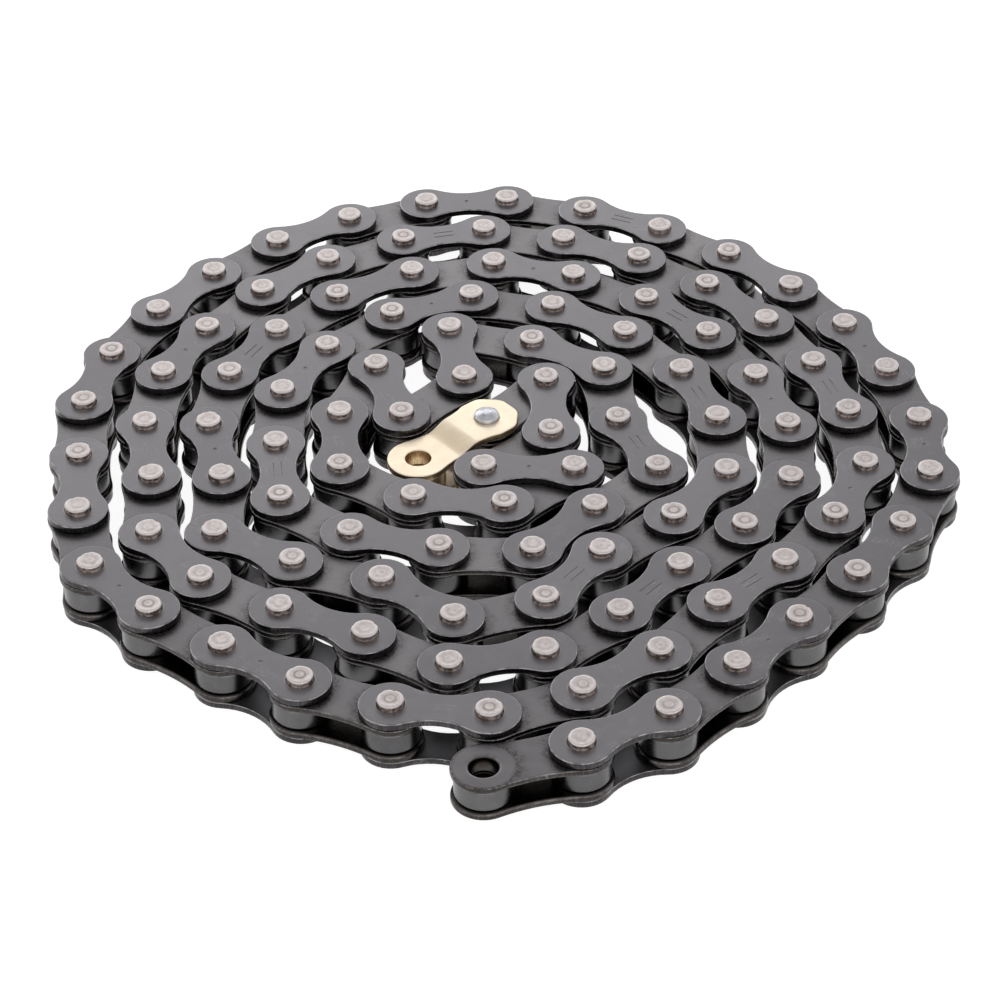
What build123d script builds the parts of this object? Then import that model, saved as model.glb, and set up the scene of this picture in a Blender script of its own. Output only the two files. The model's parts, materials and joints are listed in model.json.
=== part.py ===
"""A bicycle drive chain of 112 pitches, lying in a flat coil.

Inner links carry two plates with drawn-in collars and two rollers. Outer links carry two plates and
two pressed pins. One cranked half link closes the count at the inner end. The outer run, eight inner
and eight outer links, hinges link by link. The rest of the coil lies still and is the root.
The frame's origin is on the floor under the middle of the coil's box, with +Z up along the pins.
"""

from build123d import *
import os
from math import atan2, cos, degrees, floor, hypot, pi, radians, sin

os.makedirs("parts", exist_ok=True)

# Driving dimensions of the chain, in millimetres
PITCH = 12.7
INNER_WIDTH = 3.3  # between the inner plates
PLATE = 1.0  # thickness of every plate
PLATE_PLAY = 0.1  # between an inner plate and the outer plate over it
INNER_END_R = 4.3
INNER_WAIST = 7.2
OUTER_END_R = 4.2
OUTER_WAIST = 5.1
PIN_R = 1.8
PIN_HEAD = 0.9  # how far a pin stands out of its plate
PIN_CHAMFER = 0.2
PIN_PLAY = 0.05  # radial, in a collar
COLLAR_WALL = 0.65
COLLAR_DEPTH = 1.5
ROLLER_R = 3.875
ROLLER_LENGTH = 3.1
ROLLER_PLAY = 0.08  # radial, on a collar
HALF_END_R = 4.4
HALF_WAIST = 7.2
HALF_CORNER_R = 1.5  # of the eight-sided wide end
HALF_PIN_FILLET = 0.35
CRANK_START = 4.8  # the half link's step, measured from its pin
CRANK_END = 7.9

# The coil as it lies: the hole of the open end, then the pins, anticlockwise and inwards.
# Sixteen compass directions, from +X: the outermost turn's radius, and how much closer the next lies.
OUTER_TURN_R = [66.5, 67, 69, 72, 75.5, 72.5, 68.5, 66.5, 62.5, 63, 59, 61.5, 61, 58.5, 54.5, 59]
TURN_SPACING = [9.4, 9.2, 9, 9, 9.2, 9.2, 9.2, 9.4, 10, 8.8, 10, 11.8, 8.8, 9.4, 9.4, 9.2]
START_DIRECTION = radians(-89)
SPIRAL_PINS = 94
# How far the chain turns at each pin of the zigzag in the middle, in degrees
CORE_TURNS = [-3, 70, -17, 48, 19, 116, -55, -117, 139, 25, 53, 27, 47, 139, -137, 51, 135, -7]

RUN_LINKS = 16  # hinged links at the outer end, inner and outer in turn

# Heights above the floor
PIN_LENGTH = INNER_WIDTH + 4 * PLATE + 2 * PLATE_PLAY + 2 * PIN_HEAD
MID = PIN_LENGTH / 2
INNER_FACE = INNER_WIDTH / 2  # of an inner plate, from the mid plane
OUTER_FACE = INNER_FACE + PLATE + PLATE_PLAY  # of an outer plate
COLLAR_BORE_R = PIN_R + PIN_PLAY
COLLAR_R = COLLAR_BORE_R + COLLAR_WALL
ROLLER_BORE_R = COLLAR_R + ROLLER_PLAY


def spiral_point(angle):
    """The coil's line in polar form, angle counted on from turn to turn."""
    directions = len(OUTER_TURN_R)
    place = angle / (2 * pi) * directions
    before = floor(place)
    share = place - before
    first, second = before % directions, (before + 1) % directions
    outer_r = OUTER_TURN_R[first] * (1 - share) + OUTER_TURN_R[second] * share
    spacing = TURN_SPACING[first] * (1 - share) + TURN_SPACING[second] * share
    r = outer_r - spacing * (angle - START_DIRECTION) / (2 * pi)
    return r * cos(angle), r * sin(angle)


def next_on_spiral(angle):
    """The angle one pitch further along the coil's line."""
    x, y = spiral_point(angle)
    low, high = angle, angle + pi / 2
    for _ in range(50):
        middle = (low + high) / 2
        px, py = spiral_point(middle)
        if hypot(px - x, py - y) < PITCH:
            low = middle
        else:
            high = middle
    return low


def coil_points():
    """The open hole, the pins and the half link's hole, centred on the coil's box."""
    angle = START_DIRECTION
    points = [spiral_point(angle)]
    for _ in range(SPIRAL_PINS):
        angle = next_on_spiral(angle)
        points.append(spiral_point(angle))
    (x0, y0), (x1, y1) = points[-2:]
    heading = atan2(y1 - y0, x1 - x0)
    for turn in CORE_TURNS:
        heading += radians(turn)
        x1, y1 = x1 + PITCH * cos(heading), y1 + PITCH * sin(heading)
        points.append((x1, y1))
    xs, ys = [x for x, y in points], [y for x, y in points]
    middle_x, middle_y = (min(xs) + max(xs)) / 2, (min(ys) + max(ys)) / 2
    return [(x - middle_x, y - middle_y) for x, y in points]


HOLES = coil_points()
LINKS = len(HOLES) - 1  # the half link is the last
HALF_LINK = LINKS - 1


def link_place(link):
    """Where a link's own frame lies: its first hole at the origin, its second along +X."""
    (x0, y0), (x1, y1) = HOLES[link], HOLES[link + 1]
    return Location((x0, y0, 0), (0, 0, degrees(atan2(y1 - y0, x1 - x0))))


def hole_place(hole):
    x, y = HOLES[hole]
    return Location((x, y, 0))


def link_edge(end_r, waist):
    """A waisted link's edge: two round ends and two waist arcs, all tangent. For use in a BuildLine."""
    half = PITCH / 2
    waist_r = (half**2 + (waist / 2) ** 2 - end_r**2) / (2 * end_r - waist)
    share = end_r / (end_r + waist_r)
    x, y = half * share, (waist / 2 + waist_r) * share
    ThreePointArc((x, y), (-end_r, 0), (x, -y))
    ThreePointArc((x, -y), (half, -waist / 2), (PITCH - x, -y))
    ThreePointArc((PITCH - x, -y), (PITCH + end_r, 0), (PITCH - x, y))
    ThreePointArc((PITCH - x, y), (half, waist / 2), (x, y))


# One of each piece, in its link's own frame

with BuildPart() as outer_plate:
    with BuildSketch(Plane.XY.offset(MID + OUTER_FACE)):
        with BuildLine():
            link_edge(OUTER_END_R, OUTER_WAIST)
        make_face()
        with Locations((0, 0), (PITCH, 0)):
            Circle(PIN_R, mode=Mode.SUBTRACT)
    extrude(amount=PLATE)

with BuildPart() as inner_plate:
    with BuildSketch(Plane.XY.offset(MID + INNER_FACE)):
        with BuildLine():
            link_edge(INNER_END_R, INNER_WAIST)
        make_face()
    extrude(amount=PLATE)
    with BuildSketch(Plane.XY.offset(MID + INNER_FACE)):
        with Locations((0, 0), (PITCH, 0)):
            Circle(COLLAR_R)
    extrude(amount=-COLLAR_DEPTH)
    with Locations(Plane.XY.offset(MID)):
        with Locations((0, 0), (PITCH, 0)):
            Hole(COLLAR_BORE_R)

with BuildPart() as pin:
    with BuildSketch():
        Circle(PIN_R)
    extrude(amount=PIN_LENGTH)
    chamfer(pin.edges(), PIN_CHAMFER)

with BuildPart() as roller:
    with BuildSketch(Plane.XY.offset(MID - ROLLER_LENGTH / 2)):
        Circle(ROLLER_R)
        Circle(ROLLER_BORE_R, mode=Mode.SUBTRACT)
    extrude(amount=ROLLER_LENGTH)

# The half link: its narrow end at the origin, its wide end with the pin one pitch along +X
with BuildSketch() as wide_end:
    RegularPolygon(HALF_END_R, 8, major_radius=False, rotation=22.5)
    fillet(wide_end.vertices(), HALF_CORNER_R)

with BuildPart() as half_plate:
    step_from, step_to = PITCH - CRANK_END, PITCH - CRANK_START
    narrow_z, wide_z = MID + INNER_FACE, MID + OUTER_FACE
    with BuildSketch(Plane.XZ):
        with BuildLine():
            Polyline(
                (-PITCH, narrow_z),
                (step_from, narrow_z),
                (step_to, wide_z),
                (2 * PITCH, wide_z),
                (2 * PITCH, wide_z + PLATE),
                (step_to, wide_z + PLATE),
                (step_from, narrow_z + PLATE),
                (-PITCH, narrow_z + PLATE),
                close=True,
            )
        make_face()
    extrude(amount=PITCH, both=True)
    with BuildSketch():
        with BuildLine():
            link_edge(HALF_END_R, HALF_WAIST)
        make_face()
        with Locations((PITCH, 0)):
            add(wide_end.sketch)
    extrude(amount=PIN_LENGTH, mode=Mode.INTERSECT)
    with BuildSketch(Plane.XY.offset(narrow_z)):
        Circle(COLLAR_R)
    extrude(amount=-COLLAR_DEPTH)
    with Locations((0, 0, MID)):
        Hole(COLLAR_BORE_R)
    with Locations((PITCH, 0, MID)):
        Hole(PIN_R)

with BuildPart() as half_pin:
    with BuildSketch():
        Circle(PIN_R)
    extrude(amount=PIN_LENGTH)
    fillet(half_pin.edges(), HALF_PIN_FILLET)


def lower(upper):
    """The same plate below the mid plane."""
    return mirror(upper, about=Plane.XY.offset(MID))


def write(name, copies):
    """One node: each piece of copies, at each of its places, as separate solids."""
    with BuildPart() as node:
        for piece, places in copies:
            with Locations(*places):
                add(piece)
    node.part.label = name
    export_step(node.part, f"parts/{name}.step")


# The hinged outer run: its links count inwards from the open end
for number in range(1, RUN_LINKS // 2 + 1):
    inner_link = 2 * number - 2
    place = [link_place(inner_link)]
    write(
        f"inner_plates_{number}", [(inner_plate.part, place), (lower(inner_plate.part), place)]
    )
    write(f"roller_{2 * number - 1}", [(roller.part, [hole_place(inner_link)])])
    write(f"roller_{2 * number}", [(roller.part, [hole_place(inner_link + 1)])])

    outer_link = 2 * number - 1
    place = [link_place(outer_link)]
    write(
        f"outer_plates_{number}", [(outer_plate.part, place), (lower(outer_plate.part), place)]
    )
    write(f"pins_{number}", [(pin.part, [hole_place(outer_link), hole_place(outer_link + 1)])])

# The rest of the coil
inner_places = [link_place(link) for link in range(RUN_LINKS, HALF_LINK, 2)]
outer_places = [link_place(link) for link in range(RUN_LINKS + 1, HALF_LINK, 2)]
pin_places = [hole_place(hole) for hole in range(RUN_LINKS + 1, HALF_LINK)]
roller_places = [hole_place(hole) for hole in range(RUN_LINKS, HALF_LINK + 1)]
write("coil_inner_plates_upper", [(inner_plate.part, inner_places)])
write("coil_inner_plates_lower", [(lower(inner_plate.part), inner_places)])
write("coil_outer_plates_upper", [(outer_plate.part, outer_places)])
write("coil_outer_plates_lower", [(lower(outer_plate.part), outer_places)])
write("coil_pins", [(pin.part, pin_places)])
write("coil_rollers", [(roller.part, roller_places)])

# The half link at the inner end
hole_x, hole_y = HOLES[LINKS]
pin_x, pin_y = HOLES[HALF_LINK]
half_place = [
    Location((hole_x, hole_y, 0), (0, 0, degrees(atan2(pin_y - hole_y, pin_x - hole_x))))
]
write("half_link_plate_upper", [(half_plate.part, half_place)])
write("half_link_plate_lower", [(lower(half_plate.part), half_place)])
write("half_link_pin", [(half_pin.part, [hole_place(HALF_LINK)])])
write("half_link_roller", [(roller.part, [hole_place(LINKS)])])
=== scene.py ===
"""The looks of a coiled bicycle drive chain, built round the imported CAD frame. Metres, +Z up.

Each CAD node is replaced by one detailed piece: pressed plates with rolled edges and drawn collars,
riveted pins, turned rollers and a cranked half link. Shapes are worked out in millimetres, in the
frame of one link (X along it, Z up from the chain's mid plane), and then copied to where the
solids of the CAD node lie.
"""

import json
import math
import random

import bmesh
import bpy
import numpy as np
from mathutils import Matrix, Vector
from mathutils.geometry import tessellate_polygon


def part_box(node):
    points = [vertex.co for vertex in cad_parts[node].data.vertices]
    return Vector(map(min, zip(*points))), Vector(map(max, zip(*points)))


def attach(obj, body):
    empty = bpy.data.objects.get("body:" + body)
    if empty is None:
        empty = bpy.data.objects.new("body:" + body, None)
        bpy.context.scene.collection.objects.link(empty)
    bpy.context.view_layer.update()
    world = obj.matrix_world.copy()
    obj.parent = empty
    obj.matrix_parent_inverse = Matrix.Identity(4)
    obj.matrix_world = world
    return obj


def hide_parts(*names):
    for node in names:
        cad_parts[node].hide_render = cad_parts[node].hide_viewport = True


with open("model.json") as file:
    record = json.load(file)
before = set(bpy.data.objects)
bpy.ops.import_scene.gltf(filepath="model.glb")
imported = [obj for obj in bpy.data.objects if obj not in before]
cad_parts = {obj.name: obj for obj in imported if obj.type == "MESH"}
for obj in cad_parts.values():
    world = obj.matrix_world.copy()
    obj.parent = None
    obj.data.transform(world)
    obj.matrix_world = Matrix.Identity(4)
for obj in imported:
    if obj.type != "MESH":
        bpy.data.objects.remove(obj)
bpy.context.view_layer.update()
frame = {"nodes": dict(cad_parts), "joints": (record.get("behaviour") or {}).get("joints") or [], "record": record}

MM = 0.001
JOINTS = {joint["name"]: Vector(joint["pos_m"]) / MM for joint in frame["joints"]}
BODIES = {node: body for body, nodes in frame["record"]["behaviour"]["bodies"].items() for node in nodes}
MOUNTS = {mount["name"]: mount for mount in frame["record"]["mounts"]}


def box_mm(node):
    low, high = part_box(node)
    return low / MM, high / MM


def height(node):
    """The lowest and highest point of a CAD node, from the chain's mid plane."""
    low, high = box_mm(node)
    return low.z - MID, high.z - MID


def width(node):
    low, high = box_mm(node)
    return high.x - low.x


# Sizes that the frame gives, in millimetres
PITCH = (JOINTS["pin_2_hinge"] - JOINTS["pin_1_hinge"]).length
HALF = PITCH / 2
MID = box_mm("coil_pins")[1].z / 2
PIN_TOP = height("coil_pins")[1]
PIN_R = width("half_link_pin") / 2
OUTER_LOW, OUTER_TOP = height("coil_outer_plates_upper")
PLATE = OUTER_TOP - OUTER_LOW
COLLAR_END, INNER_TOP = height("coil_inner_plates_upper")
INNER_LOW = INNER_TOP - PLATE
ROLLER_TOP = height("half_link_roller")[1]
ROLLER_R = width("half_link_roller") / 2
BORE_R = MOUNTS["open_end_bore"]["dims"]["r_mm"]

# Sizes of the shapes, in millimetres where nothing else is said, and steps round their curves
OUTER_END_R, OUTER_WAIST = 4.19, 5.1
INNER_END_R, INNER_WAIST = 4.29, 7.2
HALF_END_R, HALF_WAIST, HALF_CORNER_R = 4.39, 7.2, 2.3
COLLAR_R = 2.5
ROLLER_BORE_R = 2.58
OUTER_EDGE, INNER_EDGE, HALF_EDGE = (0.1, 0.17), (0.42, 0.16), (0.1, 0.14)  # radii below and above
INNER_FLARE, HALF_FLARE = 0.5, 0.14  # radii of the collars' mouths
CRANK_REACH = 1.55  # of the half link's step, each way from its middle
SUPPORT = 0.07  # width of the flat strip that keeps a face's shading flat beside a rounded edge
PIN_HOLE_R = PIN_R + 0.02
CRANK_EASE = 0.25  # how much further the step's bends reach into the flat ends
CRANK_CUTS = 24
GROOVE_DEPTH, GROOVE_SLOPE, GROOVE_WEAR_AND_HIGHLIGHT, GROOVE_STEPS = 0.05, 0.04, 0.12, 8
PIN_STEPS, PIN_VARIANTS = 34, 12
HEAD_DEPTH = 0.5  # of a pin's end that leans and burrs
RIM_DROP = 0.4  # how much of the rim's unevenness a pin's end takes upright
LOWER_HEAD_TURN = 2.1  # radians, so that a pin's two ends differ
WELD = 0.002  # the CAD mesh's vertices closer than this are one
FINE_ROUND = 44  # steps round a roller and the half link's pin
DOME_STEPS, DOME_SHOULDER = 9, 6  # rings of the half link pin's head, and where its rim begins
SEED_SPREAD = 90.0  # how far apart the pieces' noises lie


# ---------------------------------------------------------------- shapes


def link_outline(end_r, waist, end_steps=26, waist_steps=9):
    """A waisted link's edge, anticlockwise: two round ends and two waist arcs, all tangent."""
    waist_r = (HALF**2 + (waist / 2) ** 2 - end_r**2) / (2 * end_r - waist)
    centre_y = waist / 2 + waist_r
    join = math.atan2(centre_y, -HALF)  # on the +X end, where its arc meets the waist's
    points = []
    for side in (1, -1):
        for i in range(end_steps + 1):
            angle = -join + 2 * join * i / end_steps
            points.append((side * (HALF + end_r * math.cos(angle)), side * end_r * math.sin(angle)))
        half_arc = math.pi / 2 - (math.pi - join)
        for i in range(1, waist_steps):
            angle = half_arc - 2 * half_arc * i / waist_steps
            points.append((side * waist_r * math.sin(angle), side * (centre_y - waist_r * math.cos(angle))))
    return points


def octagon_reach(angle, apothem, corner_r):
    """How far a rounded octagon reaches from its middle, in one direction."""
    turn = math.pi / 4
    off_flat = abs((angle + turn / 2) % turn - turn / 2)
    inner = apothem - corner_r
    if math.tan(off_flat) * apothem <= inner * math.tan(turn / 2):
        return apothem / math.cos(off_flat)
    corner = inner / math.cos(turn / 2)
    from_corner = turn / 2 - off_flat
    return corner * math.cos(from_corner) + math.sqrt(corner_r**2 - (corner * math.sin(from_corner)) ** 2)


def half_link_outline():
    """The half link's edge: its narrow end at -X is round, its wide end at +X has eight soft corners."""
    points = []
    for x, y in link_outline(HALF_END_R, HALF_WAIST, end_steps=44):
        if x > 0:
            angle = math.atan2(y, x - HALF)
            reach = max(math.hypot(x - HALF, y), octagon_reach(angle, HALF_END_R, HALF_CORNER_R))
            x, y = HALF + reach * math.cos(angle), reach * math.sin(angle)
        points.append((x, y))
    return points


def inset(points, distance):
    """A closed outline moved inwards, to the left of its direction of travel."""
    moved = []
    for i, (x, y) in enumerate(points):
        x0, y0 = points[i - 1]
        x1, y1 = points[(i + 1) % len(points)]
        along = Vector((x1 - x0, y1 - y0)).normalized()
        moved.append((x - along.y * distance, y + along.x * distance))
    return moved


def circle(x, y, r, steps, turn=0.0):
    angles = [turn + 2 * math.pi * i / steps for i in range(steps)]
    return [(x + r * math.cos(a), y + r * math.sin(a)) for a in angles]


class Shape:
    """A closed mesh grown from rings of points. Each point has a value that is 1 on an edge rubbed bright, where
    the materials also paint a highlight.
    """

    def __init__(self):
        self.bm = bmesh.new()
        self.wear_and_highlight = self.bm.verts.layers.float.new("wear_and_highlight")

    def ring(self, points, z, wear_and_highlight=0.0):
        verts = [self.bm.verts.new((x, y, z)) for x, y in points]
        for vert in verts:
            vert[self.wear_and_highlight] = wear_and_highlight
        return verts

    def strip(self, first, second):
        for i in range(len(first)):
            self.bm.faces.new((first[i - 1], first[i], second[i], second[i - 1]))

    def loft(self, rings):
        for first, second in zip(rings, rings[1:]):
            self.strip(first, second)
        return rings[0], rings[-1]

    def cap(self, *loops):
        """A flat face, its outer loop first, then its holes."""
        verts = [vert for loop in loops for vert in loop]
        for corners in tessellate_polygon([[vert.co for vert in loop] for loop in loops]):
            self.bm.faces.new([verts[i] for i in corners])

    def edge(self, outline, low, high, low_r, high_r, steps=4):
        """A plate's rounded edge, from the border of its top face to that of its bottom face."""
        rings = [self.ring(inset(outline, high_r + SUPPORT), high)]
        for i in range(steps + 1):
            angle = math.pi / 2 * i / steps
            step_in, drop = high_r * (1 - math.sin(angle)), high_r * (1 - math.cos(angle))
            rings.append(self.ring(inset(outline, step_in), high - drop, math.sin(2 * angle)))
        for i in range(steps + 1):
            angle = math.pi / 2 * i / steps
            step_in, rise = low_r * (1 - math.cos(angle)), low_r * (1 - math.sin(angle))
            rings.append(self.ring(inset(outline, step_in), low + rise, math.sin(2 * angle)))
        rings.append(self.ring(inset(outline, low_r + SUPPORT), low))
        return self.loft(rings)

    def turned(self, x, y, profile, steps=28):
        """A surface turned about an upright axis: profile is (radius, height, rubbed-edge value) from start to
        end; that value also places a painted highlight.
        """
        return self.loft([self.ring(circle(x, y, r, steps), z, wear_and_highlight) for r, z, wear_and_highlight in profile])

    def finish(self):
        """The mesh as arrays: points, corners of faces, where each face starts, and the rubbed-edge value, which
        also places painted highlights.
        """
        bmesh.ops.recalc_face_normals(self.bm, faces=self.bm.faces)
        mesh = bpy.data.meshes.new("shape")
        self.bm.to_mesh(mesh)
        self.bm.free()
        points = np.empty(len(mesh.vertices) * 3)
        mesh.vertices.foreach_get("co", points)
        corners = np.empty(len(mesh.loops), np.int32)
        mesh.loops.foreach_get("vertex_index", corners)
        starts = np.empty(len(mesh.polygons), np.int32)
        mesh.polygons.foreach_get("loop_start", starts)
        wear_and_highlight = np.empty(len(mesh.vertices))
        mesh.attributes["wear_and_highlight"].data.foreach_get("value", wear_and_highlight)
        bpy.data.meshes.remove(mesh)
        return points.reshape(-1, 3), corners, starts, wear_and_highlight


def groove(shape, y, length, width):
    """A blank groove with round ends, pressed along an outer plate. Returns the hole it needs in the face."""

    def outline(half_length, half_width):
        points = []
        for side in (1, -1):
            for i in range(GROOVE_STEPS + 1):
                turn = -math.pi / 2 + math.pi * i / GROOVE_STEPS
                reach = half_length - half_width + half_width * math.cos(turn)
                points.append((side * reach, y + side * half_width * math.sin(turn)))
        return points

    border = shape.ring(outline(length / 2 + SUPPORT, width / 2 + SUPPORT), OUTER_TOP)
    # The groove's rim is marked a little as rubbed, and the material lightens it there as a painted highlight.
    rim = shape.ring(outline(length / 2, width / 2), OUTER_TOP, GROOVE_WEAR_AND_HIGHLIGHT)
    floor = shape.ring(outline(length / 2 - GROOVE_SLOPE, width / 2 - GROOVE_SLOPE), OUTER_TOP - GROOVE_DEPTH)
    shape.loft([border, rim, floor])
    shape.cap(floor)
    return border


def outer_plate(marks):
    """An outer plate above the mid plane. marks are (y, length, width) of the grooves pressed into it."""
    shape = Shape()
    top, low = shape.edge(link_outline(OUTER_END_R, OUTER_WAIST), OUTER_LOW, OUTER_TOP, *OUTER_EDGE)
    lip = [
        (PIN_HOLE_R + 0.3 + SUPPORT, OUTER_TOP, 0.0),
        (PIN_HOLE_R + 0.3, OUTER_TOP, 0.0),
        (PIN_HOLE_R + 0.16, OUTER_TOP + 0.02, 0.2),
        (PIN_HOLE_R + 0.06, OUTER_TOP + 0.025, 0.3),
        (PIN_HOLE_R, OUTER_TOP - 0.03, 0.0),
        (PIN_HOLE_R, OUTER_LOW + 0.05, 0.0),
        (PIN_HOLE_R + 0.05, OUTER_LOW, 0.0),
        (PIN_HOLE_R + 0.05 + SUPPORT, OUTER_LOW, 0.0),
    ]
    holes = [shape.turned(x, 0, lip) for x in (-HALF, HALF)]
    grooves = [groove(shape, *mark) for mark in marks]
    shape.cap(top, *[upper for upper, lower in holes], *grooves)
    shape.cap(low, *[lower for upper, lower in holes])
    return shape.finish()


def collar(flare):
    """The wall of a hole drawn inwards: in over a flare, down the bore, round its end and back up outside."""
    profile = [(BORE_R + flare + SUPPORT, INNER_TOP, 0.0)]
    for i in range(6):
        angle = math.pi / 2 * i / 5
        r, z = BORE_R + flare * (1 - math.sin(angle)), INNER_TOP - flare * (1 - math.cos(angle))
        profile.append((r, z, 0.8 * math.sin(2 * angle)))
    profile += [
        (BORE_R, COLLAR_END + 0.1, 0.0),
        (BORE_R + 0.1, COLLAR_END, 0.5),
        (COLLAR_R - 0.1, COLLAR_END, 0.5),
        (COLLAR_R, COLLAR_END + 0.1, 0.0),
        (COLLAR_R, INNER_LOW - 0.12, 0.0),
        (COLLAR_R + 0.05, INNER_LOW - 0.03, 0.0),
        (COLLAR_R + 0.15, INNER_LOW, 0.0),
        (COLLAR_R + 0.15 + SUPPORT, INNER_LOW, 0.0),
    ]
    return profile


def inner_plate():
    """An inner plate above the mid plane, its inward edge widely rounded to let a sprocket's teeth in."""
    shape = Shape()
    top, low = shape.edge(link_outline(INNER_END_R, INNER_WAIST), INNER_LOW, INNER_TOP, *INNER_EDGE)
    holes = [shape.turned(x, 0, collar(INNER_FLARE), steps=26) for x in (-HALF, HALF)]
    shape.cap(top, *[upper for upper, lower in holes])
    shape.cap(low, *[lower for upper, lower in holes])
    return shape.finish()


def half_link_plate():
    """The half link's upper plate: low and collared at -X, stepped up in the middle, pinned at +X."""
    shape = Shape()
    top, low = shape.edge(half_link_outline(), INNER_LOW, INNER_TOP, *HALF_EDGE)
    bore = shape.turned(-HALF, 0, collar(HALF_FLARE), steps=40)
    pin_hole = [
        (PIN_HOLE_R + 0.2 + SUPPORT, INNER_TOP, 0.0),
        (PIN_HOLE_R + 0.2, INNER_TOP, 0.0),
        (PIN_HOLE_R + 0.1, INNER_TOP + 0.02, 0.4),
        (PIN_HOLE_R, INNER_TOP - 0.04, 0.0),
        (PIN_HOLE_R, INNER_LOW + 0.04, 0.0),
        (PIN_HOLE_R + 0.04, INNER_LOW, 0.0),
        (PIN_HOLE_R + 0.04 + SUPPORT, INNER_LOW, 0.0),
    ]
    pinned = shape.turned(HALF, 0, pin_hole, steps=40)
    shape.cap(top, bore[0], pinned[0])
    shape.cap(low, bore[1], pinned[1])
    reach = CRANK_REACH + CRANK_EASE
    for i in range(CRANK_CUTS + 1):
        x = -reach + 2 * reach * i / CRANK_CUTS
        geometry = [*shape.bm.verts, *shape.bm.edges, *shape.bm.faces]
        bmesh.ops.bisect_plane(shape.bm, geom=geometry, dist=1e-6, plane_co=(x, 0, 0), plane_no=(1, 0, 0))
    step = OUTER_LOW - INNER_LOW
    for vert in shape.bm.verts:
        share = min(1.0, max(0.0, (vert.co.x + reach) / (2 * reach)))
        vert.co.z += step * share * share * (3 - 2 * share)
    return shape.finish()


def pin(seed):
    """A riveted pin: upset heads with a pressed ring and centre mark, and a rim that burrs unevenly."""
    shape = Shape()
    draw = random.Random(seed)
    bites = [
        (draw.uniform(0, 2 * math.pi), draw.uniform(0.02, 0.10), draw.uniform(0.08, 0.17))
        for _ in range(9)
    ]
    waves = [(draw.uniform(0, 2 * math.pi), draw.uniform(0.004, 0.014)) for _ in range(4)]
    tilt, tilt_way = draw.uniform(0.0, 0.035), draw.uniform(0, 2 * math.pi)
    # The rubbed-edge values in this table also place a painted highlight round the pin's rim.
    head = [  # radius, depth under the top, wear, how much of the rim's unevenness it takes
        (0.16, 0.05, 0.1, 0.0),
        (0.34, 0.045, 0.2, 0.0),
        (0.5, 0.03, 0.5, 0.0),
        (0.72, 0.045, 0.0, 0.0),
        (0.98, 0.055, 0.0, 0.0),
        (1.22, 0.035, 0.3, 0.1),
        (1.42, 0.012, 0.8, 0.3),
        (1.6, 0.02, 1.0, 0.7),
        (1.72, 0.08, 1.0, 1.0),
        (1.78, 0.19, 0.5, 1.0),
        (1.78, 0.34, 0.0, 0.8),
        (1.75, 0.5, 0.0, 0.5),
        (1.74, 0.7, 0.0, 0.3),
        (1.76, 0.82, 0.0, 0.3),
        (1.79, 0.9, 0.3, 0.2),
    ]

    def uneven(angle):
        wave = sum(size * math.cos((i + 2) * angle + phase) for i, (phase, size) in enumerate(waves))
        bite = 0.0
        for at, depth, spread in bites:
            off = (angle - at + math.pi) % (2 * math.pi) - math.pi
            bite += depth * math.exp(-((off / spread) ** 2))
        return wave - bite

    ends = []
    for side in (1, -1):
        rings = []
        for r, depth, wear_and_highlight, share in head:
            ring = shape.ring(circle(0, 0, r, PIN_STEPS), side * (PIN_TOP - depth), wear_and_highlight)
            for i, vert in enumerate(ring):
                angle = 2 * math.pi * i / PIN_STEPS
                change = share * uneven(angle + (side < 0) * LOWER_HEAD_TURN)
                grown = min(PIN_R, r + change) / r
                lean = tilt * (r / PIN_R) * (1 + math.cos(angle - tilt_way)) / 2
                vert.co.x *= grown
                vert.co.y *= grown
                vert.co.z -= side * (lean * (depth < HEAD_DEPTH) - change * RIM_DROP)
            rings.append(ring)
        shape.loft(rings)
        shape.cap(rings[0])
        ends.append(rings[-1])
    shape.strip(*ends)
    return shape.finish()


def half_link_pin():
    """The half link's own pin: smooth low domed heads."""
    shape = Shape()
    rise = PIN_TOP - OUTER_TOP
    ends = []
    for side in (1, -1):
        rings = []
        for i in range(1, DOME_STEPS + 1):
            if i < DOME_SHOULDER:
                share = 0.78 * i / DOME_STEPS
            else:
                outwards = (i - DOME_SHOULDER) / (DOME_STEPS - DOME_SHOULDER)
                share = 0.52 + 0.475 * math.sin(outwards * math.pi / 2)
            drop = 0.5 * rise * (1 - math.cos(math.pi / 2 * i / DOME_STEPS)) ** 2.2
            wear_and_highlight = 1.0 if i > DOME_SHOULDER else 0.3
            z = side * (PIN_TOP - 0.02 - drop)
            rings.append(shape.ring(circle(0, 0, PIN_R * share, FINE_ROUND), z, wear_and_highlight))
        rings.append(shape.ring(circle(0, 0, PIN_R, FINE_ROUND), side * (OUTER_TOP + 0.1)))
        rings.append(shape.ring(circle(0, 0, PIN_R * 0.995, FINE_ROUND), side * OUTER_LOW))
        shape.loft(rings)
        shape.cap(rings[0])
        ends.append(rings[-1])
    shape.strip(*ends)
    return shape.finish()


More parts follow.
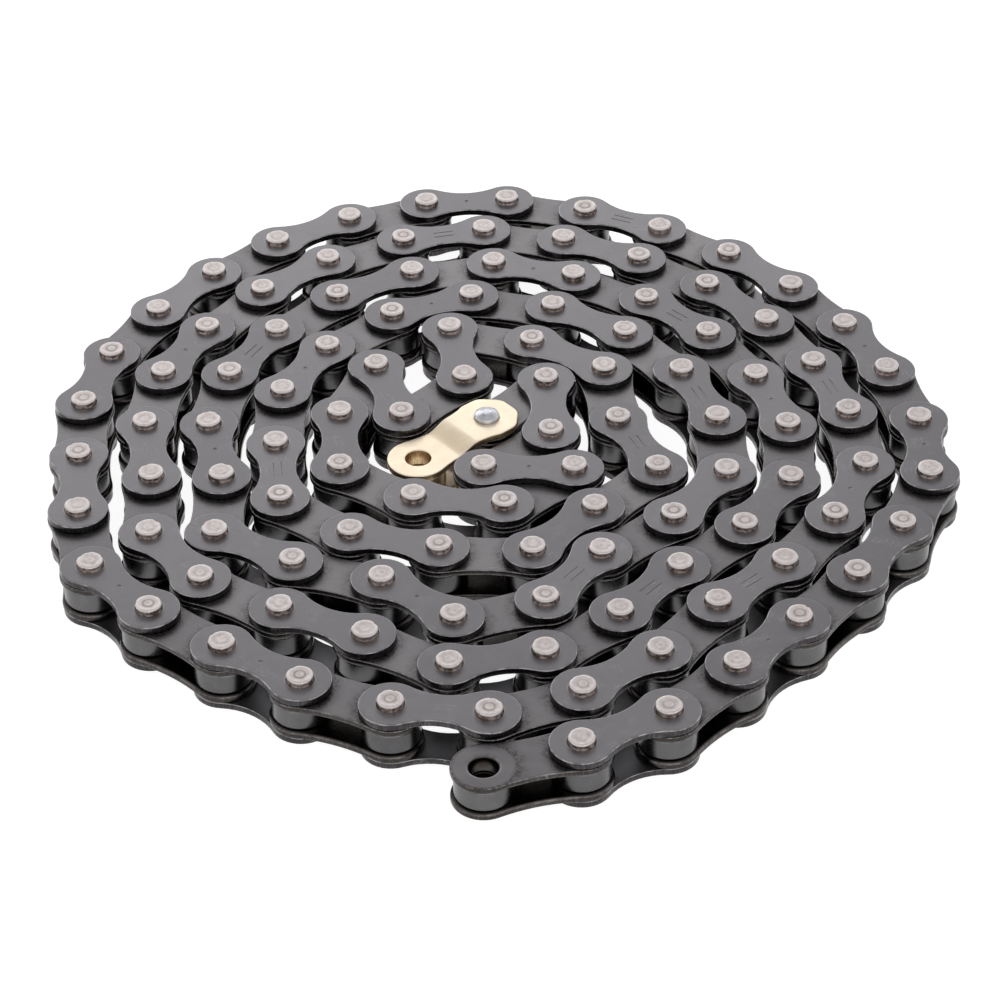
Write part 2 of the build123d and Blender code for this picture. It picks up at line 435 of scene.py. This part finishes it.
def roller():
    """A turned roller with eased ends and a plain bore."""
    shape = Shape()
    ease = 0.24
    profile = [(ROLLER_BORE_R, 0.0, 0.0)]
    for side in (1, -1):
        rise = [
            (ROLLER_BORE_R, ROLLER_TOP - 0.12, 0.0),
            (ROLLER_BORE_R + 0.12, ROLLER_TOP, 0.3),
            (ROLLER_R - ease - SUPPORT, ROLLER_TOP, 0.0),
        ]
        for i in range(5):
            angle = math.pi / 2 * i / 4
            step_in, drop = ease * (1 - math.sin(angle)), ease * (1 - math.cos(angle))
            rise.append((ROLLER_R - step_in, ROLLER_TOP - drop, 0.7 * math.sin(2 * angle)))
        rise.append((ROLLER_R, ROLLER_TOP - ease - SUPPORT, 0.0))
        profile += [(r, side * z, wear_and_highlight) for r, z, wear_and_highlight in rise[::side]]
    rings = [shape.ring(circle(0, 0, r, FINE_ROUND), z, wear_and_highlight) for r, z, wear_and_highlight in profile]
    shape.loft(rings)
    shape.strip(rings[-1], rings[0])
    return shape.finish()


# ---------------------------------------------------------------- where the CAD solids lie


def solids(node):
    """The loose solids of a CAD node: for each, its middle in millimetres and its longer side's angle."""
    bm = bmesh.new()
    bm.from_mesh(frame["nodes"][node].data)
    bmesh.ops.remove_doubles(bm, verts=bm.verts, dist=WELD * MM)
    bm.verts.ensure_lookup_table()
    seen, found = set(), []
    for start in bm.verts:
        if start.index in seen:
            continue
        seen.add(start.index)
        island, waiting = [], [start]
        while waiting:
            vert = waiting.pop()
            island.append(vert.co / MM)
            for edge in vert.link_edges:
                other = edge.other_vert(vert)
                if other.index not in seen:
                    seen.add(other.index)
                    waiting.append(other)
        points = np.array(island)
        plan = points[:, :2] - points[:, :2].mean(0)
        _, axes = np.linalg.eigh(plan.T @ plan)
        along = axes[:, 1]
        turned = points[:, :2] @ axes
        middle = axes @ (turned.min(0) + turned.max(0)) / 2
        z = (points[:, 2].min() + points[:, 2].max()) / 2
        found.append((Vector((*middle, z)), math.atan2(along[1], along[0])))
    bm.free()
    return found


def placed(middle, angle):
    """From a link's own frame to the row's frame. A piece below the mid plane is turned over."""
    place = Matrix.Translation(Vector((middle.x, middle.y, MID))) @ Matrix.Rotation(angle, 4, "Z")
    if middle.z < MID - PLATE / 2:
        place = place @ Matrix.Rotation(math.pi, 4, "X")
    return place


def piece(node, copies, material):
    """One detailed piece in place of a CAD node: copies are (shape, place), each with its own seed."""
    points, corners, starts, wear_and_highlight, spots, seeds = [], [], [], [], [], []
    point_count = corner_count = 0
    draw = random.Random(node)
    for (shape_points, shape_corners, shape_starts, shape_wear_and_highlight), place in copies:
        matrix = np.array(place)
        points.append((shape_points @ matrix[:3, :3].T + matrix[:3, 3]) * MM)
        corners.append(shape_corners + point_count)
        starts.append(shape_starts + corner_count)
        wear_and_highlight.append(shape_wear_and_highlight)
        spots.append(shape_points)
        seeds.append(np.full(len(shape_points), draw.random()))
        point_count += len(shape_points)
        corner_count += len(shape_corners)
    mesh = bpy.data.meshes.new(node + "_detail")
    mesh.vertices.add(point_count)
    mesh.vertices.foreach_set("co", np.concatenate(points).ravel())
    mesh.loops.add(corner_count)
    mesh.loops.foreach_set("vertex_index", np.concatenate(corners))
    starts = np.concatenate(starts)
    mesh.polygons.add(len(starts))
    mesh.polygons.foreach_set("loop_start", starts)
    mesh.polygons.foreach_set("use_smooth", np.ones(len(starts), bool))
    mesh.update(calc_edges=True)
    mesh.attributes.new("wear_and_highlight", "FLOAT", "POINT").data.foreach_set("value", np.concatenate(wear_and_highlight))
    mesh.attributes.new("seed", "FLOAT", "POINT").data.foreach_set("value", np.concatenate(seeds))
    spot = mesh.attributes.new("spot", "FLOAT_VECTOR", "POINT")
    spot.data.foreach_set("vector", np.concatenate(spots).ravel())
    mesh.materials.append(material)
    made = bpy.data.objects.new(node + "_detail", mesh)
    bpy.context.scene.collection.objects.link(made)
    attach(made, BODIES[node])
    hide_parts(node)
    return made


# ---------------------------------------------------------------- materials


class Paint:
    """A node material with short names for the nodes it is made of. Lengths inside it are millimetres."""

    def __init__(self, name, metallic=1.0):
        self.material = bpy.data.materials.new(name)
        self.material.use_nodes = True
        self.tree = self.material.node_tree
        self.shader = self.tree.nodes["Principled BSDF"]
        self.shader.inputs["Metallic"].default_value = metallic
        self.spot = self.attribute("spot", "Vector")
        self.seed = self.times(self.attribute("seed", "Fac"), SEED_SPREAD)
        self.wear_and_highlight = self.attribute("wear_and_highlight", "Fac")

    def put(self, socket, value):
        if isinstance(value, bpy.types.NodeSocket):
            self.tree.links.new(value, socket)
        else:
            socket.default_value = value

    def node(self, kind, **inputs):
        made = self.tree.nodes.new(kind)
        for name, value in inputs.items():
            self.put(made.inputs[name.replace("_", " ")], value)
        return made

    def attribute(self, name, output):
        made = self.tree.nodes.new("ShaderNodeAttribute")
        made.attribute_name = name
        return made.outputs[output]

    def math(self, operation, first, second=0.0, third=0.0):
        made = self.tree.nodes.new("ShaderNodeMath")
        made.operation = operation
        for socket, value in zip(made.inputs, (first, second, third)):
            self.put(socket, value)
        return made.outputs[0]

    def times(self, first, second):
        return self.math("MULTIPLY", first, second)

    def add(self, first, second):
        return self.math("ADD", first, second)

    def minus(self, first, second):
        return self.math("SUBTRACT", first, second)

    def larger(self, first, second):
        return self.math("MAXIMUM", first, second)

    def size(self, value):
        """value without its sign."""
        return self.math("ABSOLUTE", value)

    def distance(self, x, y):
        """How far a point at x and y is from the middle."""
        squares = self.add(self.math("POWER", x, 2.0), self.math("POWER", y, 2.0))
        return self.math("SQRT", squares)

    def between(self, value, low, high, from_low=0.0, from_high=1.0):
        """value, from_low to from_high, mapped smoothly to low and high."""
        made = self.node("ShaderNodeMapRange", Value=value)
        made.interpolation_type = "SMOOTHSTEP"
        made.inputs["From Min"].default_value = from_low
        made.inputs["From Max"].default_value = from_high
        made.inputs["To Min"].default_value = low
        made.inputs["To Max"].default_value = high
        return made.outputs["Result"]

    def wall(self, from_low, from_high):
        """1 on upright walls, 0 on flat faces."""
        normal = self.node("ShaderNodeNewGeometry").outputs["True Normal"]
        split = self.node("ShaderNodeSeparateXYZ", Vector=normal)
        return self.between(self.size(split.outputs["Z"]), 1.0, 0.0, from_low, from_high)

    def stretched(self, scale, angle=0.0):
        made = self.node("ShaderNodeMapping", Vector=self.spot)
        made.inputs["Scale"].default_value = scale
        made.inputs["Rotation"].default_value = (0, 0, angle)
        return made.outputs["Vector"]

    def noise(self, scale, detail=2.0, vector=None, roughness=0.5):
        """Noise that differs on every piece. scale is in cells to a millimetre."""
        made = self.tree.nodes.new("ShaderNodeTexNoise")
        made.noise_dimensions = "4D"
        self.put(made.inputs["Vector"], vector or self.spot)
        self.put(made.inputs["W"], self.seed)
        made.inputs["Scale"].default_value = scale
        made.inputs["Detail"].default_value = detail
        made.inputs["Roughness"].default_value = roughness
        return made.outputs["Fac"]

    def mix(self, share, first, second):
        made = self.tree.nodes.new("ShaderNodeMix")
        made.data_type = "RGBA"
        for name, value in (("Factor_Float", share), ("A_Color", first), ("B_Color", second)):
            socket = next(s for s in made.inputs if s.identifier == name)
            self.put(socket, (*value, 1.0) if isinstance(value, tuple) else value)
        return next(s for s in made.outputs if s.identifier == "Result_Color")

    def bump(self, height, depth, normal=None):
        """depth is what a height of 1 stands for, in millimetres."""
        made = self.node("ShaderNodeBump", Height=height)
        made.inputs["Distance"].default_value = depth * MM
        made.inputs["Strength"].default_value = 1.0
        if normal:
            self.put(made.inputs["Normal"], normal)
        return made.outputs["Normal"]

    def finish(self, colour, roughness, normal):
        self.put(self.shader.inputs["Base Color"], colour)
        self.put(self.shader.inputs["Roughness"], roughness)
        self.put(self.shader.inputs["Normal"], normal)
        return self.material


def scratches(paint, angle, share):
    """Thin straight scratches: 1 on a scratch, 0 elsewhere."""
    lines = paint.noise(1.0, 1.0, paint.stretched((0.25, 9.0, 1.0), angle))
    where = paint.noise(0.35, 1.0)
    ridge = paint.size(paint.minus(lines, 0.5))
    thin = paint.between(ridge, 1.0, 0.0, 0.0, 0.012)
    return paint.times(thin, paint.between(where, 0.0, 1.0, 0.62 - share, 0.72 - share))


def oxide_steel(name, dark, light, worn_and_highlight, rough, walls, grease_and_shade_colour, rub_and_highlight):
    """Steel under dark grey oxide: satin faces, mottling, fine scratches, and edges rubbed bright with a painted
    highlight; upright walls can take a painted shade, and inner plates a dark oily colour that is oil and painted
    shade.
    """
    paint = Paint(name)
    mottle = paint.noise(0.45, 3.0)
    grain = paint.noise(7.0, 3.0, roughness=0.65)
    fine = paint.noise(18.0, 2.0)
    own = paint.between(paint.math("FRACT", paint.times(paint.seed, 7.3)), 0.0, 1.0)
    tone = paint.add(paint.times(mottle, 0.6), paint.times(own, 0.25))
    tone = paint.add(tone, paint.times(grain, 0.3))
    colour = paint.mix(paint.between(tone, 0.0, 1.0, 0.25, 0.85), dark, light)
    wall = paint.wall(0.3, 0.8)
    # Painted shade: upright walls are darkened towards the walls colour, unevenly in streaks up the sheared face.
    if walls:
        sheared = paint.noise(1.0, 3.0, paint.stretched((5.0, 5.0, 0.9)))
        painted_wall_shade_share = paint.between(sheared, 0.95, 0.7, 0.4, 0.7)
        colour = paint.mix(paint.times(wall, painted_wall_shade_share), colour, walls)
    scuffs = paint.larger(scratches(paint, 0.5, 0.06), scratches(paint, -0.9, 0.04))
    # Rubbed edges, broken up by noise, are lightened: rubbed steel together with a painted highlight along the
    # rounded edges.
    rubbed = paint.times(paint.wear_and_highlight, paint.between(paint.noise(0.9, 3.0), 0.15, 1.0, 0.38, 0.62))
    colour = paint.mix(paint.times(scuffs, 0.3), colour, worn_and_highlight)
    colour = paint.mix(paint.times(rubbed, rub_and_highlight), colour, worn_and_highlight)
    roughness = paint.between(paint.add(mottle, paint.times(fine, 0.4)), *rough, 0.4, 0.95)
    roughness = paint.minus(roughness, paint.times(wall, 0.08))
    if grease_and_shade_colour:
        # A dark oily, glossier colour, which is oil and painted shade together, in three places.
        split = paint.node("ShaderNodeSeparateXYZ", Vector=paint.spot)
        along = paint.minus(paint.size(split.outputs["X"]), HALF)
        reach = paint.distance(along, split.outputs["Y"])
        wavy = paint.add(reach, paint.times(paint.noise(1.1, 3.0), 1.6))
        past_cover = paint.between(reach, 0.0, 1.0, OUTER_END_R - 0.5, OUTER_END_R)
        fading = paint.between(wavy, 0.75, 0.0, OUTER_END_R + 0.6, OUTER_END_R + 2.7)
        flecks = paint.between(paint.noise(3.2, 4.0, roughness=0.65), 0.3, 1.0, 0.40, 0.60)
        # A flecked band round each outer plate's end on the inner plate: painted contact shadow with oil.
        shadow_and_grease_fringe = paint.times(paint.times(fading, past_cover), flecks)
        # Near the plate's inward face and its collars, between the parts: painted shade with oil.
        inward = paint.between(paint.size(split.outputs["Z"]), 0.9, 0.0, INNER_LOW, INNER_LOW + 0.45)
        # Inside the bores: painted shade.
        bore = paint.between(reach, 0.95, 0.0, BORE_R + 0.02, BORE_R + 0.3)
        grease_and_shade = paint.larger(paint.larger(inward, bore), shadow_and_grease_fringe)
        colour = paint.mix(grease_and_shade, colour, grease_and_shade_colour)
        roughness = paint.minus(roughness, paint.times(grease_and_shade, 0.12))
    relief = paint.add(paint.times(grain, 0.6), paint.times(fine, 0.4))
    normal = paint.bump(relief, 0.016)
    normal = paint.bump(paint.times(scuffs, -1.0), 0.006, normal)
    return paint.finish(colour, roughness, normal)


def pin_steel(name):
    """Bare upset steel, warm grey: bright rubbed heads with turned rings and a painted highlight round their rims,
    and sides brown with old oil.
    """
    paint = Paint(name)
    split = paint.node("ShaderNodeSeparateXYZ", Vector=paint.spot)
    depth = paint.minus(PIN_TOP, paint.size(split.outputs["Z"]))
    reach = paint.distance(split.outputs["X"], split.outputs["Y"])
    patches = paint.noise(1.6, 3.0)
    grain = paint.noise(9.0, 3.0, roughness=0.7)
    rings = paint.math("SINE", paint.add(paint.times(reach, 26.0), paint.times(paint.noise(1.0), 5.0)))
    rubbing = paint.between(paint.add(patches, paint.times(grain, 0.5)), 0.0, 1.0, 0.45, 1.0)
    head = paint.mix(rubbing, (0.49, 0.435, 0.427), (0.70, 0.642, 0.628))
    head = paint.mix(paint.times(paint.between(rings, 0.0, 1.0, 0.2, 1.0), 0.16), head, (0.30, 0.25, 0.24))
    ring = paint.times(
        paint.between(reach, 0.0, 1.0, 0.42, 0.62), paint.between(reach, 1.0, 0.0, 0.74, 0.98)
    )
    own = paint.math("FRACT", paint.times(paint.seed, 5.1))
    ring = paint.times(ring, paint.between(own, 0.05, 0.75, 0.2, 1.0))
    head = paint.mix(ring, head, (0.26, 0.215, 0.205))
    # The rim and other rubbed rings turn near white: rubbed metal with a painted highlight on the rim.
    head = paint.mix(paint.times(paint.wear_and_highlight, 0.5), head, (0.90, 0.85, 0.84))
    oil = paint.between(paint.noise(1.4, 4.0, roughness=0.6), 0.0, 1.0, 0.38, 0.64)
    sides = paint.mix(oil, (0.17, 0.122, 0.102), (0.72, 0.61, 0.565))
    edge = paint.add(depth, paint.times(paint.minus(patches, 0.5), 0.25))
    colour = paint.mix(paint.between(edge, 0.0, 1.0, 0.17, 0.34), head, sides)
    roughness = paint.between(grain, 0.42, 0.60, 0.3, 0.75)
    normal = paint.bump(paint.add(grain, paint.times(rings, 0.12)), 0.022)
    return paint.finish(colour, roughness, normal)


def gold_plating(name):
    """Pale brass plating over sheared steel: creamy faces, bronze walls, a painted shade across the step, paler
    rubbed edges with a painted highlight, and a fine peened texture.
    """
    paint = Paint(name)
    split = paint.node("ShaderNodeSeparateXYZ", Vector=paint.spot)
    clouds = paint.noise(0.5, 3.0)
    grain = paint.noise(6.0, 3.0, roughness=0.6)
    streaks = paint.noise(1.0, 2.0, paint.stretched((0.8, 5.0, 1.0), 0.35))
    tone = paint.add(paint.times(clouds, 0.5), paint.times(streaks, 0.5))
    colour = paint.mix(paint.between(tone, 0.0, 1.0, 0.35, 0.7), (0.93, 0.795, 0.615), (0.98, 0.87, 0.70))
    wall = paint.wall(0.25, 0.75)
    sheared = paint.noise(1.0, 3.0, paint.stretched((6.0, 6.0, 1.2)))
    bronze = paint.mix(paint.between(sheared, 0.0, 1.0, 0.35, 0.65), (0.30, 0.19, 0.09), (0.66, 0.47, 0.24))
    colour = paint.mix(paint.times(wall, 0.85), colour, bronze)
    # Painted shade: a darker, streaked band across the step in the middle, where the sloped face sits.
    off_bend = paint.size(paint.add(split.outputs["X"], paint.times(streaks, 0.5)))
    painted_step_shade = paint.between(off_bend, 1.0, 0.0, 0.2, 2.1)
    colour = paint.mix(paint.times(painted_step_shade, paint.between(grain, 0.2, 0.45)), colour, (0.82, 0.64, 0.42))
    # Rubbed edges turn paler: rubbed plating with a painted highlight.
    colour = paint.mix(paint.times(paint.wear_and_highlight, 0.5), colour, (0.98, 0.90, 0.72))
    specks = paint.between(paint.noise(3.2, 2.0), 0.0, 0.5, 0.70, 0.76)
    colour = paint.mix(specks, colour, (0.42, 0.28, 0.14))
    roughness = paint.between(paint.add(clouds, paint.times(grain, 0.5)), 0.30, 0.48, 0.5, 1.0)
    normal = paint.bump(paint.add(grain, streaks), 0.012)
    return paint.finish(colour, roughness, normal)


def zinc_steel(name):
    """Smooth bluish zinc plating."""
    paint = Paint(name)
    clouds = paint.noise(1.2, 3.0)
    grain = paint.noise(10.0, 3.0)
    colour = paint.mix(paint.between(clouds, 0.0, 1.0, 0.35, 0.65), (0.45, 0.46, 0.50), (0.62, 0.63, 0.67))
    # The dome's rim turns paler: rubbed plating with a painted highlight.
    colour = paint.mix(paint.times(paint.wear_and_highlight, 0.35), colour, (0.82, 0.85, 0.92))
    return paint.finish(colour, paint.between(clouds, 0.2, 0.34, 0.3, 0.7), paint.bump(grain, 0.008))


# In the calls below, the walls colours are a painted shade on upright walls, the inner plates' dark oily colour is
# oil with painted shade between the parts and in the bores, and the pale edge colours are rubbed metal with a
# painted highlight.
OUTER_STEEL = oxide_steel(
    "outer_plate_oxide", dark=(0.170, 0.164, 0.174), light=(0.218, 0.211, 0.222), worn_and_highlight=(0.66, 0.64, 0.65),
    rough=(0.32, 0.42), walls=(0.035, 0.032, 0.032), grease_and_shade_colour=None, rub_and_highlight=0.7,
)
INNER_STEEL = oxide_steel(
    "inner_plate_oxide", dark=(0.162, 0.156, 0.162), light=(0.228, 0.220, 0.226), worn_and_highlight=(0.62, 0.59, 0.58),
    rough=(0.30, 0.44), walls=(0.045, 0.039, 0.037), grease_and_shade_colour=(0.036, 0.030, 0.026), rub_and_highlight=0.4,
)
ROLLER_STEEL = oxide_steel(
    "roller_oxide", dark=(0.088, 0.085, 0.088), light=(0.132, 0.129, 0.133), worn_and_highlight=(0.40, 0.39, 0.40),
    rough=(0.28, 0.38), walls=None, grease_and_shade_colour=None, rub_and_highlight=0.6,
)
PIN_STEEL = pin_steel("pin_steel")
GOLD = gold_plating("half_link_plating")
ZINC = zinc_steel("half_link_pin_zinc")


# ---------------------------------------------------------------- pieces

# The marks on outer plates: two grooves, a dimple, or nothing on half of the plates
GROOVES = [(side * 0.55, 3.2, 0.16) for side in (-1, 1)]
DIMPLE = [(0.0, 0.62, 0.6)]
OUTER_PLATES = [outer_plate(marks) for marks in (GROOVES, DIMPLE, [], [])]
INNER_PLATE = inner_plate()
PINS = [pin(seed) for seed in range(PIN_VARIANTS)]
ROLLER = roller()
HALF_LINK_PLATE = half_link_plate()
HALF_LINK_PIN = half_link_pin()

half_hole, half_pin = JOINTS["half_link_roller_spin"], JOINTS["half_link_hinge"]
half_heading = math.atan2(half_pin.y - half_hole.y, half_pin.x - half_hole.x)

for node in frame["nodes"]:
    pick = random.Random(node + " shapes")
    found = solids(node)
    if node.startswith("half_link_plate"):
        middle = (half_hole + half_pin) / 2
        middle.z = found[0][0].z
        piece(node, [(HALF_LINK_PLATE, placed(middle, half_heading))], GOLD)
    elif node == "half_link_pin":
        piece(node, [(HALF_LINK_PIN, placed(middle, 0.0)) for middle, _ in found], ZINC)
    elif node == "half_link_roller":
        piece(node, [(ROLLER, placed(middle, 0.0)) for middle, _ in found], GOLD)
    elif "roller" in node:
        copies = [(ROLLER, placed(middle, pick.uniform(0, 2 * math.pi))) for middle, _ in found]
        piece(node, copies, ROLLER_STEEL)
    elif "pins" in node:
        copies = [(pick.choice(PINS), placed(middle, pick.uniform(0, 2 * math.pi))) for middle, _ in found]
        piece(node, copies, PIN_STEEL)
    elif "inner_plates" in node:
        piece(node, [(INNER_PLATE, placed(middle, angle)) for middle, angle in found], INNER_STEEL)
    elif "outer_plates" in node:
        copies = [(pick.choice(OUTER_PLATES), placed(middle, angle)) for middle, angle in found]
        piece(node, copies, OUTER_STEEL)


# ---------------------------------------------------------------- studio

# The camera looks at a point on the plane of the pins' upper ends
CAMERA_AIM = Vector((-0.07, -13.66, MID + PIN_TOP)) * MM
CAMERA_DISTANCE = 0.42624
CAMERA_ELEVATION = math.radians(37.446)
CAMERA_ROLL = -0.01182
CAMERA_LENS, CAMERA_SENSOR = 111.6, 36.0
HORIZON_LIGHT, ZENITH_LIGHT = 0.9, 0.5
HORIZON_TOP, ZENITH_START = 0.35, 0.95  # heights, from 0 to 1, between which the light fades
FLOOR_REACH = 4.0


def add_camera():
    data = bpy.data.cameras.new("camera")
    data.sensor_width = CAMERA_SENSOR
    data.lens = CAMERA_LENS
    data.clip_start, data.clip_end = 0.01, 50.0
    camera = bpy.data.objects.new("camera", data)
    back = Vector((0, -math.cos(CAMERA_ELEVATION), math.sin(CAMERA_ELEVATION)))
    level_up = Vector((0, math.sin(CAMERA_ELEVATION), math.cos(CAMERA_ELEVATION)))
    level_right = Vector((1, 0, 0))
    right = level_right * math.cos(CAMERA_ROLL) + level_up * math.sin(CAMERA_ROLL)
    up = level_up * math.cos(CAMERA_ROLL) - level_right * math.sin(CAMERA_ROLL)
    turn = Matrix((right, up, back)).transposed().to_4x4()
    camera.matrix_world = Matrix.Translation(CAMERA_AIM + back * CAMERA_DISTANCE) @ turn
    bpy.context.scene.collection.objects.link(camera)
    bpy.context.scene.camera = camera


def add_softbox(name, place, aim, size, power):
    data = bpy.data.lights.new(name, "AREA")
    data.shape = "RECTANGLE"
    data.size, data.size_y = size
    data.energy = power
    light = bpy.data.objects.new(name, data)
    light.location = place
    light.rotation_mode = "QUATERNION"
    light.rotation_quaternion = (Vector(place) - Vector(aim)).to_track_quat("Z", "Y")
    bpy.context.scene.collection.objects.link(light)


def add_floor():
    mesh = bpy.data.meshes.new("floor")
    corners = [(x * FLOOR_REACH, y * FLOOR_REACH, 0) for x, y in ((-1, -1), (1, -1), (1, 1), (-1, 1))]
    mesh.from_pydata(corners, [], [(0, 1, 2, 3)])
    material = bpy.data.materials.new("floor_paper")
    material.use_nodes = True
    shader = material.node_tree.nodes["Principled BSDF"]
    shader.inputs["Base Color"].default_value = (0.35, 0.35, 0.35, 1.0)
    shader.inputs["Emission Color"].default_value = (1.0, 1.0, 1.0, 1.0)
    shader.inputs["Emission Strength"].default_value = 0.9
    shader.inputs["Roughness"].default_value = 0.9
    shader.inputs["Specular IOR Level"].default_value = 0.1
    mesh.materials.append(material)
    floor = bpy.data.objects.new("floor", mesh)
    bpy.context.scene.collection.objects.link(floor)


def add_world():
    """A white studio, brightest where the backdrop meets the floor and dimmer overhead."""
    world = bpy.data.worlds.new("studio")
    world.use_nodes = True
    nodes, links = world.node_tree.nodes, world.node_tree.links
    direction = nodes.new("ShaderNodeTexCoord").outputs["Generated"]
    split = nodes.new("ShaderNodeSeparateXYZ")
    links.new(direction, split.inputs["Vector"])
    brightness = nodes.new("ShaderNodeMapRange")
    links.new(split.outputs["Z"], brightness.inputs["Value"])
    brightness.inputs["From Min"].default_value = HORIZON_TOP
    brightness.inputs["From Max"].default_value = ZENITH_START
    brightness.inputs["To Min"].default_value = HORIZON_LIGHT
    brightness.inputs["To Max"].default_value = ZENITH_LIGHT
    nodes["Background"].inputs["Color"].default_value = (1.0, 1.0, 1.0, 1.0)
    links.new(brightness.outputs["Result"], nodes["Background"].inputs["Strength"])
    bpy.context.scene.world = world


add_camera()
add_world()
add_floor()
add_softbox("front", (0.15, -0.6, 0.35), (0, -0.05, 0), (0.5, 0.25), 0.3)
add_softbox("behind", (-0.12, 0.55, 0.30), (0, 0.05, 0), (0.6, 0.22), 0.45)
bpy.context.scene.view_settings.view_transform = "Standard"
